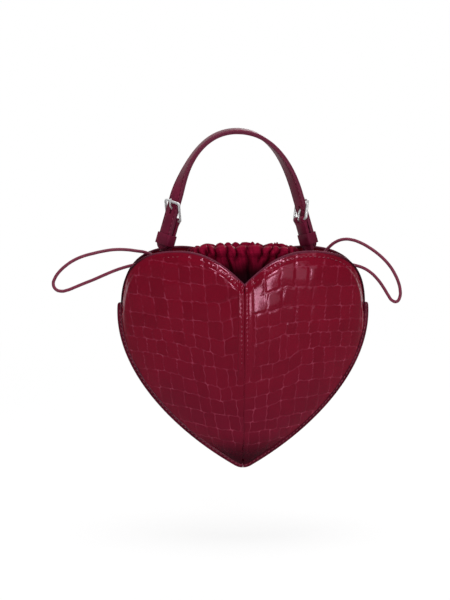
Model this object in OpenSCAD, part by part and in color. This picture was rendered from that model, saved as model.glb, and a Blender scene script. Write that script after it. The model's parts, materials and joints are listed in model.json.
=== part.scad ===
// Heart-shaped drawstring bag with a buckled top handle, in millimetres.
// The origin is the underside of the handle's crown, where the hand carries it:
// X runs across the bag, Y from front to back, Z up.

/* [Body] */
// Width across the widest point, edge bindings included
bag_w = 220; // [190:5:260]
// Height from the top of the lobes to the tip
bag_h = 193; // [170:1:230]
// Depth of the filled bag, from the front seam to the back seam
bag_depth = 77; // [64:1:90]
// Depth of the dip between the two lobes
notch_drop = 28; // [20:1:34]
// Height of the free top edge, from the lobes down to the side seam
side_drop = 49; // [42:1:58]
// How far the body hangs to the right of the handle's middle
body_shift = 5.5; // [0:0.5:6]
// Width of the binding that closes the lower edge
binding_w = 4.5; // [3.5:0.5:6]
// How far the binding stands proud of the panels it holds
binding_proud = 0.4; // [0.2:0.1:0.8]

/* [Plies] */
// Thickness of the embossed leather
leather_t = 1.6; // [1.2:0.1:2]
// Thickness of the moulded stiffening board
board_t = 1; // [0.6:0.1:1.4]
// Thickness of the satin lining
lining_t = 0.6; // [0.4:0.1:0.8]
// Space left between two plies
ply_gap = 0.1; // [0.05:0.05:0.2]
// Width of the tape behind each half of a centre seam
tape_w = 7; // [5:1:9]

/* [Handle] */
// Height of the handle's opening above the lobes
handle_drop = 99.5; // [90:0.5:130]
// Width of the strap
strap_w = 13; // [11:0.5:15]
// Thickness of the strap, outer ply and lining ply together
strap_t = 3.6; // [3:0.2:4.4]
// Half of the distance between the two tabs at their feet
leg_x = 63; // [60:1:70]
// Lean of each leg towards the middle, in degrees
leg_lean = 16; // [12:1:20]
// Turn of the left leg about its own length, in degrees
left_yaw = 45; // [20:1:50]
// Turn of the right leg about its own length, in degrees
right_yaw = 33; // [20:1:50]
// Tilt of the strap at its crown, outer face to the front, in degrees
crown_tilt = 9; // [0:1:15]
// How late the left half of the strap takes up its turn
left_twist = 3; // [1:0.25:3.5]
// How late the right half of the strap takes up its turn
right_twist = 1; // [1:0.25:3.5]

/* [Tabs and buckles] */
// Thickness of a tab, both of its plies together
tab_t = 2.8; // [2.4:0.2:3.6]
// Depth of the tab's pivot below the top of the lobes
pivot_depth = 4.5; // [3.5:0.5:6]
// Height of the hinge bar above the pivot, along the leg
hinge_z = 31.2; // [29:0.2:34]
// Height of the far bar above the hinge bar, along the leg
far_rise = 15; // [14:0.5:17]
// Radius of the buckle's wire
bar_r = 1.1; // [0.9:0.1:1.3]
// Outside width of the buckle's frame
frame_w = 19.5; // [18.5:0.5:22]
// Radius of the prong's wire
prong_r = 0.8; // [0.6:0.1:1]
// Running clearance of the hinge bar in what turns on it
bar_fit = 0.05; // [0.02:0.01:0.1]
// Length of a keeper along the strap
keeper_l = 9.6; // [8:0.2:12]
// Thickness of the keeper's leather
keeper_t = 1.1; // [1:0.1:1.6]

/* [Collar and cords] */
// Half-length of the gathered tunnel, across the bag
tunnel_a = 43; // [38:1:46]
// Half-depth of the gathered tunnel
tunnel_b = 11; // [9:1:13]
// Height of the frill's top above the lobes
frill_rise = 6; // [3:0.5:8]
// Depth of the collar's skirt below the lobes
skirt_drop = 33; // [30:1:36]
// Number of gathers round the collar
gathers = 24; // [16:2:28]
// Height of the gathers
gather_h = 1.1; // [0.6:0.1:1.3]
// Diameter of the drawcord
cord_d = 2.8; // [2.4:0.1:3]
// Clearance beside and around moving and soft pieces
soft_gap = 0.3; // [0.3:0.05:0.4]

/* [Hidden] */
$fn = 48;

leather = "#6e1526";
satin = "#96122f";
board_colour = "#8a7a66";
silver = "#c4c4c4";

// Heights that the body hangs from, below the crown of the handle
top_z = -handle_drop;
notch_z = top_z - notch_drop;
step_z = top_z - side_drop;
tip_z = top_z - bag_h;
pivot_z = top_z - pivot_depth;
half_w = bag_w / 2;
overrun = 1;

// The heart's lower rim is one curve, given as shares of half the width and of its height
rim_x_shares = [0.995, 1.027, 0.527, 0.036];
rim_drop_shares = [0, 0.405, 0.787, 1];
rim_curve = [for (i = [0:3])
    [half_w * rim_x_shares[i], step_z + (tip_z - step_z) * rim_drop_shares[i]]];

// The free top edge is two curves, one either side of the lobe's peak
lobe_x_share = 0.5;
lobe_split_share = 0.5;
lobe_x = half_w * lobe_x_share;
inner_reach_shares = [0.145, 0.22];
inner_rise_share = 0.55;
outer_reach_share = 0.3;
outer_tuck_share = 0.013;
outer_fall_share = 0.26;
inner_lobe = [[0, notch_z],
    [half_w * inner_reach_shares[0], notch_z + notch_drop * inner_rise_share],
    [lobe_x - half_w * inner_reach_shares[1], top_z], [lobe_x, top_z]];
outer_lobe = [[lobe_x, top_z], [lobe_x + half_w * outer_reach_share, top_z],
    [half_w - binding_w - half_w * outer_tuck_share, top_z - side_drop * outer_fall_share],
    inset_rim(0, binding_w)];

// Dome of a panel: a keel at the seam, flat towards it and round at the side
keel_share = 0.35;
round_power = 3;
belly_shares = [0.9, 0.4];
belly_at_share = 0.2;
lobe_fade_power = 1.6;
seam_half = leather_t + ply_gap;
belly = (bag_depth / 2 - seam_half) / crown(belly_at_share);

function bez(p, t) = p[0] * pow(1 - t, 3) + 3 * p[1] * t * pow(1 - t, 2)
    + 3 * p[2] * t * t * (1 - t) + p[3] * pow(t, 3);
function bez_slope(p, t) = 3 * (p[1] - p[0]) * pow(1 - t, 2)
    + 6 * (p[2] - p[1]) * t * (1 - t) + 3 * (p[3] - p[2]) * t * t;
function unit(a) = a / norm(a);
function ease(t) = t * t * (3 - 2 * t);

// Rim of the lower V, and the same rim moved in by a distance
function rim(v) = bez(rim_curve, v);
function inset_rim(v, d) = let (s = unit(bez_slope(rim_curve, v))) rim(v) + d * [s[1], -s[0]];
function top_edge(u) = u < lobe_split_share
    ? bez(inner_lobe, u / lobe_split_share)
    : bez(outer_lobe, (u - lobe_split_share) / (1 - lobe_split_share));
function lobe_swell(u) = top_edge(u) - top_edge(0) * (1 - u) - top_edge(1) * u;
function seam_end() = [0, inset_rim(1, binding_w)[1]];

// A place on half a panel: u runs from the seam out to the rim, v from the top edge down
function spot(u, v) = (top_edge(0) * (1 - v) + seam_end() * v) * (1 - u)
    + inset_rim(v, binding_w) * u + lobe_swell(u) * pow(1 - v, lobe_fade_power);
function crown(v) = (1 - v * v) * (belly_shares[0] + belly_shares[1] * v);
function dome(u, v) = seam_half
    + belly * crown(v) * (1 - keel_share * u - (1 - keel_share) * pow(u, round_power));

// Depth below the panel's face at which each inner ply starts
board_in = leather_t + ply_gap;
lining_in = board_in + board_t + ply_gap;
clear_in = lining_in + lining_t + soft_gap;

// Two like grids of points, n rows by m, closed into one thick sheet
module thick_sheet(face, inside, n, m) {
    function p(i, j) = i * m + j;
    function q(i, j) = n * m + p(i, j);
    polyhedron(points = concat(face, inside), faces = concat(
        [for (i = [0:n - 2], j = [0:m - 2]) each [
            [p(i, j), p(i, j + 1), p(i + 1, j + 1)], [p(i, j), p(i + 1, j + 1), p(i + 1, j)],
            [q(i, j), q(i + 1, j + 1), q(i, j + 1)], [q(i, j), q(i + 1, j), q(i + 1, j + 1)]]],
        [for (j = [0:m - 2]) each [
            [p(0, j), q(0, j), q(0, j + 1)], [p(0, j), q(0, j + 1), p(0, j + 1)],
            [p(n - 1, j), q(n - 1, j + 1), q(n - 1, j)],
            [p(n - 1, j), p(n - 1, j + 1), q(n - 1, j + 1)]]],
        [for (i = [0:n - 2]) each [
            [q(i, 0), p(i, 0), p(i + 1, 0)], [q(i, 0), p(i + 1, 0), q(i + 1, 0)],
            [p(i, m - 1), q(i, m - 1), q(i + 1, m - 1)],
            [p(i, m - 1), q(i + 1, m - 1), p(i + 1, m - 1)]]]));
}

// One ply of the front's right half. All plies share one grid of columns out from the seam
// and rows down from the top edge, so that their faces stay parallel
panel_columns = 11;
panel_rows = 15;
module ply(columns, rows, start, t, first_x = 0) {
    n = len(rows);
    m = len(columns);
    function at(i, j, d) = let (u = columns[j] / panel_columns, v = rows[i] / panel_rows,
        s = spot(u, v))
        [max(s[0], first_x), d - dome(u, v), s[1]];
    thick_sheet([for (i = [0:n - 1], j = [0:m - 1]) at(i, j, start)],
        [for (i = [0:n - 1], j = [0:m - 1]) at(i, j, start + t)], n, m);
}

module both_halves() {
    children();
    mirror([1, 0, 0]) children();
}

module panel() color(leather)
    ply([for (j = [0:panel_columns]) j], [for (i = [0:panel_rows]) i], 0, leather_t, ply_gap / 2);

inner_rows = [for (i = [1:panel_rows - 2]) i];
tape_column_share = tape_w / half_w;
module seam_tape() color(leather) both_halves()
    ply([0, tape_column_share * panel_columns], inner_rows, board_in, board_t);

module board() color(board_colour) both_halves()
    ply([for (j = [1:panel_columns - 1]) j], inner_rows, board_in, board_t);

module lining() color(satin) both_halves()
    ply([for (j = [0:panel_columns - 1]) j], inner_rows, lining_in, lining_t);

// The binding lies in the plane where front and back meet
binding_steps = 28;
binding_t = 2 * (seam_half + binding_proud);
binding_in = binding_w - ply_gap;
module edge_binding() color(leather) {
    start = unit(bez_slope(rim_curve, 0));
    middle = inset_rim(0, binding_in / 2);
    rotate([90, 0, 0]) linear_extrude(binding_t, center = true) polygon(concat(
        [for (k = [165:-15:15])
            middle + binding_in / 2 * (cos(k) * [-start[1], start[0]] - sin(k) * start)],
        [for (i = [0:binding_steps]) rim(i / binding_steps)],
        [[ply_gap / 2, tip_z], [ply_gap / 2, seam_end()[1] - ply_gap]],
        [for (i = [binding_steps:-1:0]) inset_rim(i / binding_steps, binding_in)]));
}

// Gusset under a lobe's shoulder: it bridges the front and back linings
gusset_t = 1.2;
gusset_row_share = 0.06;
gusset_columns = [for (j = [5:panel_columns - 1]) j];
function gusset_spot(u) = spot(u, gusset_row_share);
module side_gusset() {
    function at(i, j, d) = let (u = gusset_columns[j] / panel_columns, s = gusset_spot(u),
        w = dome(u, gusset_row_share) - clear_in)
        [s[0], i == 0 ? w : -w, s[1] - d];
    m = len(gusset_columns);
    color(leather) thick_sheet([for (i = [0:1], j = [0:m - 1]) at(i, j, 0)],
        [for (i = [0:1], j = [0:m - 1]) at(i, j, gusset_t)], 2, m);
}

// The tab's foot turns in a leather cradle that stands on the highest of the gusset below it
gusset_line = [for (j = gusset_columns) gusset_spot(j / panel_columns)];
knuckle_r = 3.6;
knuckle_l = 7;
cradle_t = 2;
cradle_l = 9;
cradle_top = 3.2;
cradle_w = 9;
module tab_anchor(from_seam) color(leather) {
    cradle_r = knuckle_r + soft_gap;
    foot_z = soft_gap + max([for (k = [-1:0.25:1])
        lookup(from_seam + k * cradle_l / 2, gusset_line)]);
    difference() {
        union() {
            translate([leg_x, 0, pivot_z]) rotate([0, 90, 0])
                cylinder(h = cradle_l, r = cradle_r + cradle_t, center = true);
            translate([leg_x - cradle_l / 2, -cradle_w / 2, foot_z])
                cube([cradle_l, cradle_w, pivot_z - cradle_r - foot_z]);
        }
        translate([leg_x, 0, pivot_z]) rotate([0, 90, 0])
            cylinder(h = cradle_l + overrun, r = cradle_r, center = true);
        translate([leg_x - cradle_l, -cradle_l, pivot_z - cradle_top])
            cube([2 * cradle_l, 2 * cradle_l, 2 * cradle_l]);
    }
}

// A racetrack loop of half-length a and half-depth b. A gather keeps its share of the
// tunnel's own loop at every height, so that the gathers run straight down
tunnel_straight = 2 * (tunnel_a - tunnel_b);
track_straight_share = tunnel_straight / (2 * tunnel_straight + 2 * PI * tunnel_b);
track_turn_share = 1 / 2 - track_straight_share;
function track_angle(t) = max(0, 180 * (t - track_straight_share) / track_turn_share);
function track(a, b, s) = let (
    far = s < 1 / 2,
    t = far ? s : s - 1 / 2,
    along = (a - b) * (2 * min(t / track_straight_share, 1) - 1),
    k = track_angle(t))
    (far ? 1 : -1) * [along + b * sin(k), -b * cos(k)];
function track_out(s) = let (
    far = s < 1 / 2,
    k = track_angle(far ? s : s - 1 / 2))
    (far ? 1 : -1) * [sin(k), -cos(k)];

// The collar is one satin ring: an outer ply down to its skirt, a fold at the top
// that makes the cords' tunnel, and a short inner ply
satin_t = 0.8;
tunnel_half = cord_d / 2 + soft_gap;
tunnel_z = top_z - 1.5;
cord_pitch = cord_d + soft_gap;
frill_z = top_z + frill_rise;
skirt_z = top_z - skirt_drop;
skirt_u_share = 0.25;
skirt_v = (notch_z - skirt_z) / (notch_z - seam_end()[1]);
skirt_out = dome(skirt_u_share, skirt_v) - clear_in - gather_h - tunnel_b;
skirt_end_share = 0.25;
ply_out = tunnel_half + satin_t + gather_h;
tunnel_roof = tunnel_z + cord_d / 2 + soft_gap;
tunnel_floor = tunnel_z - cord_pitch - cord_d / 2 - soft_gap;
// Each corner of the ring's section: offset at the ends, offset at the sides, height, gather
collar_section = [
    [skirt_out * skirt_end_share, skirt_out, skirt_z, gather_h],
    [ply_out, ply_out + skirt_out / 4, (skirt_z + tunnel_floor) / 2, gather_h],
    [ply_out, ply_out, tunnel_floor, gather_h],
    [ply_out, ply_out, frill_z, gather_h],
    [-ply_out, -ply_out, frill_z, gather_h],
    [-ply_out, -ply_out, tunnel_floor, gather_h],
    [-tunnel_half, -tunnel_half, tunnel_floor, 0],
    [-tunnel_half, -tunnel_half, tunnel_roof, 0],
    [tunnel_half, tunnel_half, tunnel_roof, 0],
    [tunnel_half, tunnel_half, tunnel_floor, 0],
    [ply_out - gather_h - satin_t, ply_out + skirt_out / 4 - gather_h - satin_t,
        (skirt_z + tunnel_floor) / 2, gather_h],
    [skirt_out * skirt_end_share - gather_h - satin_t, skirt_out - gather_h - satin_t,
        skirt_z, gather_h]];
gather_steps = 4;

module satin_collar() {
    n = gathers * gather_steps;
    m = len(collar_section);
    function at(i, c) = let (s = i / n,
        a = tunnel_a + c[0],
        b = tunnel_b + c[1],
        p = track(a, b, s) + c[3] * cos(360 * i / gather_steps) * track_out(s))
        [p[0], p[1], c[2]];
    function k(i, j) = (i % n) * m + j % m;
    color(satin) polyhedron(points = [for (i = [0:n - 1], c = collar_section) at(i, c)],
        faces = [for (i = [0:n - 1], j = [0:m - 1]) each [
            [k(i, j), k(i + 1, j), k(i + 1, j + 1)], [k(i, j), k(i + 1, j + 1), k(i, j + 1)]]]);
}

// The stretch of cord inside the tunnel, all the way round it
module cord_run(z) color(leather) translate([0, 0, z]) {
    straight = tunnel_a - tunnel_b;
    for (side = [-1, 1]) {
        translate([0, side * tunnel_b, 0]) rotate([0, 90, 0])
            cylinder(h = 2 * straight, d = cord_d, center = true);
        translate([side * straight, 0, 0]) rotate([0, 0, -side * 90])
            rotate_extrude(angle = 180) translate([tunnel_b, 0]) circle(d = cord_d);
    }
}

// Routes of the two free loops, from the tunnel out and back to it
left_route = [[-34, 17.3, -104.5], [-42, 17.8, -106], [-50, 16, -108.5], [-58, 13.4, -109.7],
    [-66, 12.2, -109.8], [-73, 11.2, -109], [-79, 9.8, -105.6], [-85, 8.4, -102.9],
    [-92, 7, -101.6],
    [-101, 6, -100.4], [-111, 5, -100.2], [-120, 4, -101.3], [-129, 3, -103.2],
    [-138, 2.5, -105.6], [-146, 2, -109], [-153, 1.5, -113.6], [-159, 1, -119.2],
    [-162.6, 0.5, -124.5], [-164, 0, -129.6], [-161.8, -0.6, -134], [-157, -1, -135.6],
    [-151.6, -1.4, -134.6], [-146, -1.8, -132.4], [-138, -2.4, -129], [-129, -3, -125.4],
    [-120, -3.6, -121.4], [-111, -4.2, -117.6], [-103, -5.2, -114.8], [-95, -6.6, -112.6],
    [-87, -8.2, -110.8], [-79, -9.8, -110], [-71, -11, -109.8], [-63, -12, -109.8],
    [-55, -13.6, -109.6], [-48, -16.2, -107.6], [-41, -17.7, -105.8], [-34, -17.3, -104.5]];
right_route = [[34, 17.3, -104.5], [42, 17.8, -106], [49, 16, -108.4], [56, 13.4, -109.6],
    [64, 12, -109], [70, 11, -105], [75, 9.6, -99], [80.5, 8.2, -94.4], [87.5, 6.6, -91.8],
    [95, 5, -92.2], [102, 3.8, -94.6], [109, 2.8, -98.4], [115.6, 2, -103], [122, 1.4, -108.6],
    [127.6, 1, -115], [131.6, 0.6, -121.4], [134.6, 0.2, -128], [136.4, 0, -135],
    [136.2, -0.6, -141.4], [133.6, -1, -145.4], [129.6, -1.4, -144.6], [125.6, -1.8, -139.4],
    [121.4, -2.2, -132.6], [116, -2.8, -125.4], [110, -3.6, -119.6], [103, -4.6, -115.4],
    [96, -5.8, -113.2], [88, -7.8, -111.4], [80, -9.4, -110.2], [72, -10.8, -109.8],
    [64, -12, -109.8], [56, -13.4, -109.6], [49, -16, -108.2], [42, -17.7, -106],
    [34, -17.3, -104.5]];
cord_sides = 8;

module tube(route, d) {
    n = len(route);
    function along(i) = unit(route[min(i + 1, n - 1)] - route[max(i - 1, 0)]);
    function across(i) = unit(cross(along(i), [0, 0, 1]));
    function corner(i, j) = let (k = 360 * j / cord_sides, w = across(i))
        route[i] + d / 2 * (w * cos(k) + cross(w, along(i)) * sin(k));
    function q(i, j) = i * cord_sides + j % cord_sides;
    color(leather) polyhedron(points = [for (i = [0:n - 1], j = [0:cord_sides - 1]) corner(i, j)],
        faces = concat([[for (j = [0:cord_sides - 1]) q(0, j)]],
            [for (i = [0:n - 2], j = [0:cord_sides - 1]) each [
                [q(i, j), q(i + 1, j), q(i + 1, j + 1)], [q(i, j), q(i + 1, j + 1), q(i, j + 1)]]],
            [[for (j = [cord_sides - 1:-1:0]) q(n - 1, j)]]));
}

// A leg's own frame: X across the strap, -Y out of its face, Z up the leg from the pivot
module left_leg() translate([-leg_x, 0, pivot_z]) rotate([0, leg_lean, 0])
    rotate([0, 0, left_yaw - 90]) children();
module right_leg() translate([leg_x, 0, pivot_z]) rotate([0, -leg_lean, 0])
    rotate([0, 0, right_yaw + 90]) children();

fold_r = bar_r + bar_fit + tab_t / 2;
strap_in = fold_r + soft_gap;
far_y = strap_in + strap_t + soft_gap + bar_r;
leg_top = hinge_z + far_rise + 5;
leg_join = 0.1;
tail_z = 4;
tail_round = strap_w / 2;
slot_rise = 5;
slot_l = 6.4;
slot_w = 2 * prong_r + 2 * soft_gap;

// Straight stretch of one ply of the strap, with the slot that the prong comes through
module leg_ply(start, t) difference() {
    translate([0, -start, 0]) rotate([90, 0, 0]) linear_extrude(t) {
        translate([-strap_w / 2, tail_z + tail_round])
            square([strap_w, leg_top + leg_join - tail_z - tail_round]);
        translate([0, tail_z + tail_round]) circle(tail_round);
    }
    translate([0, -start - t / 2, hinge_z + slot_rise]) rotate([90, 0, 0])
        linear_extrude(t + overrun, center = true) {
            translate([-slot_w / 2, slot_w / 2]) square([slot_w, slot_l - slot_w]);
            translate([0, slot_w / 2]) circle(slot_w / 2);
            translate([0, slot_l - slot_w / 2]) circle(slot_w / 2);
        }
}

// The arch between the legs: each half is one curve from the crown to a leg's top
arch_reach = 30;
arch_fall = 28;
arch_steps = 20;
function leg_up(side) = [-side * sin(leg_lean), 0, cos(leg_lean)];
function face_out(side, yaw) = [side * cos(yaw) * cos(leg_lean), side * sin(yaw),
    cos(yaw) * sin(leg_lean)];
function leg_head(side, yaw) = [side * leg_x, 0, pivot_z] + leg_top * leg_up(side)
    + (strap_in + strap_t / 2) * face_out(side, yaw);
function arch_half(side, yaw) = let (crown_pt = [0, 0, strap_t / 2], head = leg_head(side, yaw))
    [crown_pt, crown_pt + [side * arch_reach, 0, 0], head + arch_fall * leg_up(side), head];

// One ring of the arch: its middle, face direction and width direction
function arch_ring(side, yaw, twist, t) = let (
    curve = arch_half(side, yaw),
    mid = bez(curve, t),
    slope = bez_slope(curve, t),
    way = unit([slope[0], 0, slope[2]]),
    plain = [-side * way[2], 0, side * way[0]],
    late = ease(pow(t, twist)),
    turn = yaw * late - side * crown_tilt * (1 - late),
    out = plain * cos(turn) + [0, side * sin(turn), 0])
    [mid, out, cross(side * way, out)];
arch_rings = concat(
    [for (i = [arch_steps:-1:1]) arch_ring(-1, left_yaw, left_twist, i / arch_steps)],
    [for (i = [0:arch_steps]) arch_ring(1, right_yaw, right_twist, i / arch_steps)]);

// The two plies split the face between them along the same diagonals
module arch_ply(low, high) {
    n = len(arch_rings);
    function corner(r, d, w) = r[0] + r[1] * d + r[2] * w;
    function q(i, j) = i * 4 + j % 4;
    polyhedron(points = [for (r = arch_rings) each [corner(r, high, -strap_w / 2),
            corner(r, high, strap_w / 2), corner(r, low, strap_w / 2), corner(r, low, -strap_w / 2)]],
        faces = concat([[0, 1, 2, 3]],
            [for (i = [0:n - 2], j = [0, 1, 3]) each [
                [q(i, j), q(i + 1, j), q(i + 1, j + 1)], [q(i, j), q(i + 1, j + 1), q(i, j + 1)]]],
            [for (i = [0:n - 2]) each [
                [q(i, 2), q(i + 1, 2), q(i, 3)], [q(i + 1, 2), q(i + 1, 3), q(i, 3)]]],
            [[q(n - 1, 3), q(n - 1, 2), q(n - 1, 1), q(n - 1, 0)]]));
}

module handle_outer() color(leather) {
    arch_ply(0, strap_t / 2);
    left_leg() leg_ply(strap_in + strap_t / 2, strap_t / 2);
    right_leg() leg_ply(strap_in + strap_t / 2, strap_t / 2);
}

module handle_lining() color(leather) {
    arch_ply(-strap_t / 2, 0);
    left_leg() leg_ply(strap_in, strap_t / 2);
    right_leg() leg_ply(strap_in, strap_t / 2);
}

// Tab: two plies folded round the hinge bar, skived to a round foot that turns in the cradle
flare_l = 4.5;
neck_z = 0.5;
neck_w = 6;
shoulder_z = 4.5;
prong_slot_w = 3.2;
eye_r = bar_r + bar_fit + 0.9;

module tab_leg() difference() {
    intersection() {
        rotate([90, 0, 90]) linear_extrude(strap_w, center = true) {
            translate([-tab_t / 2, neck_z]) square([tab_t, hinge_z - neck_z]);
            translate([0, hinge_z]) circle(fold_r);
            polygon([[-tab_t / 2, hinge_z - flare_l], [tab_t / 2, hinge_z - flare_l],
                [fold_r, hinge_z], [-fold_r, hinge_z]]);
        }
        rotate([90, 0, 0]) linear_extrude(2 * fold_r + overrun, center = true)
            polygon([[-neck_w / 2, neck_z], [neck_w / 2, neck_z], [strap_w / 2, shoulder_z],
                [strap_w / 2, hinge_z + 2 * fold_r], [-strap_w / 2, hinge_z + 2 * fold_r],
                [-strap_w / 2, shoulder_z]]);
    }
    translate([0, 0, hinge_z]) rotate([0, 90, 0])
        cylinder(h = strap_w + overrun, r = bar_r + bar_fit, center = true);
    translate([-prong_slot_w / 2, -fold_r - overrun, hinge_z - eye_r - soft_gap])
        cube([prong_slot_w, 2 * (fold_r + overrun), 2 * (fold_r + overrun)]);
}

module tab_foot(side) translate([side * leg_x, 0, pivot_z]) rotate([0, 90, 0])
    cylinder(h = knuckle_l, r = knuckle_r, center = true);

module left_tab() color(leather) {
    left_leg() tab_leg();
    tab_foot(-1);
}

module right_tab() color(leather) {
    right_leg() tab_leg();
    tab_foot(1);
}

// Buckle frame: four bars of round wire with turned corners, tipped out over the strap
frame_tip = atan(far_y / far_rise);
frame_l = norm([far_y, far_rise]);
corner_r = 2;
module buckle_frame() color(silver) translate([0, 0, hinge_z]) rotate([frame_tip, 0, 0]) {
    bar_x = frame_w / 2 - bar_r;
    for (z = [0, frame_l])
        translate([0, 0, z]) rotate([0, 90, 0])
            cylinder(h = 2 * (bar_x - corner_r), r = bar_r, center = true);
    for (side = [-1, 1])
        translate([side * bar_x, 0, corner_r]) cylinder(h = frame_l - 2 * corner_r, r = bar_r);
    corners = [[1, frame_l - corner_r], [-1, frame_l - corner_r], [-1, corner_r], [1, corner_r]];
    for (i = [0:3])
        translate([corners[i][0] * (bar_x - corner_r), 0, corners[i][1]])
            rotate([90, 0, 0]) rotate([0, 0, 90 * i]) elbow();
}

module elbow() rotate_extrude(angle = 90) translate([corner_r, 0]) circle(bar_r);

// Prong: an eye on the hinge bar and a bent wire that lies over the far bar
eye_l = 2.4;
prong_path = [[0, bar_r + bar_fit + prong_r / 2], [-strap_in + prong_r + soft_gap, 7.4],
    [-far_y - bar_r - 0.2, 11.2], [-far_y - bar_r - prong_r - bar_fit, far_rise],
    [-far_y - bar_r - prong_r - bar_fit - 0.4, far_rise + 2.4]];
function step_side(path, i) = let (d = unit(path[min(i + 1, len(path) - 1)] - path[max(i - 1, 0)]))
    [d[1], -d[0]];
function strip(path, r) = concat([for (i = [0:len(path) - 1]) path[i] + r * step_side(path, i)],
    [for (i = [len(path) - 1:-1:0]) path[i] - r * step_side(path, i)]);

module buckle_prong() color(silver) translate([0, 0, hinge_z]) difference() {
    union() {
        rotate([0, 90, 0]) cylinder(h = eye_l, r = eye_r, center = true);
        rotate([90, 0, 90]) linear_extrude(2 * prong_r, center = true)
            polygon(strip(prong_path, prong_r));
    }
    rotate([0, 90, 0]) cylinder(h = eye_l + overrun, r = bar_r + bar_fit, center = true);
}

// Keeper: a leather loop round the strap's tail and the tab
keeper_z = 8.4;
keeper_round = 2.2;
module keeper() color(leather) {
    w = strap_w + 2 * soft_gap;
    low = -(strap_in + strap_t + soft_gap);
    high = tab_t / 2 + soft_gap;
    translate([0, 0, keeper_z]) linear_extrude(keeper_l) difference() {
        rounded_box(w + 2 * keeper_t, low - keeper_t, high + keeper_t, keeper_round);
        translate([-w / 2, low]) square([w, high - low]);
    }
}

module rounded_box(w, low, high, r) {
    translate([-w / 2 + r, low]) square([w - 2 * r, high - low]);
    translate([-w / 2, low + r]) square([w, high - low - 2 * r]);
    for (x = [-1, 1], y = [low + r, high - r])
        translate([x * (w / 2 - r), y]) circle(r);
}

// The body hangs a little to one side of the handle
module hung() translate([body_shift, 0, 0]) children();

hung() mirror([1, 0, 0]) panel();  // front_left_panel
hung() panel();  // front_right_panel
hung() mirror([1, 0, 0]) mirror([0, 1, 0]) panel();  // back_left_panel
hung() mirror([0, 1, 0]) panel();  // back_right_panel
hung() seam_tape();  // front_seam_tape
hung() mirror([0, 1, 0]) seam_tape();  // back_seam_tape
hung() board();  // front_board
hung() mirror([0, 1, 0]) board();  // back_board
hung() lining();  // front_lining
hung() mirror([0, 1, 0]) lining();  // back_lining
hung() mirror([1, 0, 0]) edge_binding();  // left_edge_binding
hung() edge_binding();  // right_edge_binding
hung() mirror([1, 0, 0]) side_gusset();  // left_side_gusset
hung() side_gusset();  // right_side_gusset
mirror([1, 0, 0]) tab_anchor(leg_x + body_shift);  // left_tab_anchor
tab_anchor(leg_x - body_shift);  // right_tab_anchor
hung() satin_collar();
hung() cord_run(tunnel_z);  // left_cord_run
hung() cord_run(tunnel_z - cord_pitch);  // right_cord_run
hung() tube(left_route, cord_d);  // left_drawcord
hung() tube(right_route, cord_d);  // right_drawcord
handle_outer();
handle_lining();
left_tab();
right_tab();
left_leg() buckle_frame();  // left_buckle_frame
right_leg() buckle_frame();  // right_buckle_frame
left_leg() buckle_prong();  // left_buckle_prong
right_leg() buckle_prong();  // right_buckle_prong
left_leg() keeper();  // left_keeper
right_leg() keeper();  // right_keeper
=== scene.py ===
# %% [markdown]
# # A heart-shaped bag with a gathered satin collar
#
# This lesson dresses a small leather handbag: domed crocodile-embossed halves that meet in a
# stitched seam, a bound lower edge, a gathered satin collar, two cord loops and a strap held by
# two buckles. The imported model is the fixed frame. Every piece is modelled in its place and
# rides on one of the frame's bodies.

# %% Load the frame
import json
import math
import bpy
import numpy as np
from mathutils import Matrix, Vector

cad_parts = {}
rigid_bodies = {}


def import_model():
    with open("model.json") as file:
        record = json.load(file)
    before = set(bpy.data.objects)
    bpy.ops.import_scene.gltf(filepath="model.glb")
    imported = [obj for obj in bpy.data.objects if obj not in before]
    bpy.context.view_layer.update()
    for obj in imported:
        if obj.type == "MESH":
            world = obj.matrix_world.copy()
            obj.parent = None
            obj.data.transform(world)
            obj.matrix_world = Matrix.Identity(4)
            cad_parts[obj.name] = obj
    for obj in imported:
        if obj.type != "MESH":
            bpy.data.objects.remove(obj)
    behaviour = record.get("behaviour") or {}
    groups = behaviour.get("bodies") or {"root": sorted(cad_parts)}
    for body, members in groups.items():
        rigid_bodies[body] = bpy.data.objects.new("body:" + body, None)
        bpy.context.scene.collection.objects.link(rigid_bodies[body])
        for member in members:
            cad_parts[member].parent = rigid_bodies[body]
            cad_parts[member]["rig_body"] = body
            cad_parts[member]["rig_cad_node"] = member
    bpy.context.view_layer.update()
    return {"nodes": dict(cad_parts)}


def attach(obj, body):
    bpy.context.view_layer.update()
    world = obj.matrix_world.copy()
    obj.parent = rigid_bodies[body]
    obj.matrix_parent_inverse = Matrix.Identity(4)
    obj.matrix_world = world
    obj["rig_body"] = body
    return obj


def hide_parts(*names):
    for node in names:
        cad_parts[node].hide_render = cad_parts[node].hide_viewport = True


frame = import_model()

MM = 0.001
nodes = frame["nodes"]
print("nodes in the frame:", len(nodes))

# %% [markdown]
# ## The camera
#
# The bag was photographed a little from above and nearly straight from the front, from
# further away than an arm's length, so the picture is almost flat. A long lens at that
# distance gives the same shape. The camera is aimed by its direction.

# %% Camera
camera_distance = 1.358
camera_left, camera_above = math.radians(1.4), math.radians(7.06)
aim = Vector((-0.0102, 0, -0.1438))
towards_camera = Vector((-math.sin(camera_left) * math.cos(camera_above),
    -math.cos(camera_left) * math.cos(camera_above), math.sin(camera_above)))
bpy.ops.object.camera_add(location=aim + towards_camera * camera_distance)
camera = bpy.context.object
camera.rotation_euler = (-towards_camera).to_track_quat("-Z", "Y").to_euler()
camera.data.lens = 94
camera.data.sensor_width = 36
bpy.context.scene.camera = camera
print("camera at", [round(c, 3) for c in camera.location])

# %% [markdown]
# ## Small helpers
#
# Most pieces start as a flat grid or a plain primitive. Its corners are read, moved to where
# the pattern cutter would put them, and written back. Millimetres keep the numbers easy to
# compare with the real thing.

# %% Helpers for pieces
def deselect():
    if bpy.context.object and bpy.context.object.mode != "OBJECT":
        bpy.ops.object.mode_set(mode="OBJECT")
    bpy.ops.object.select_all(action="DESELECT")


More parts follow.
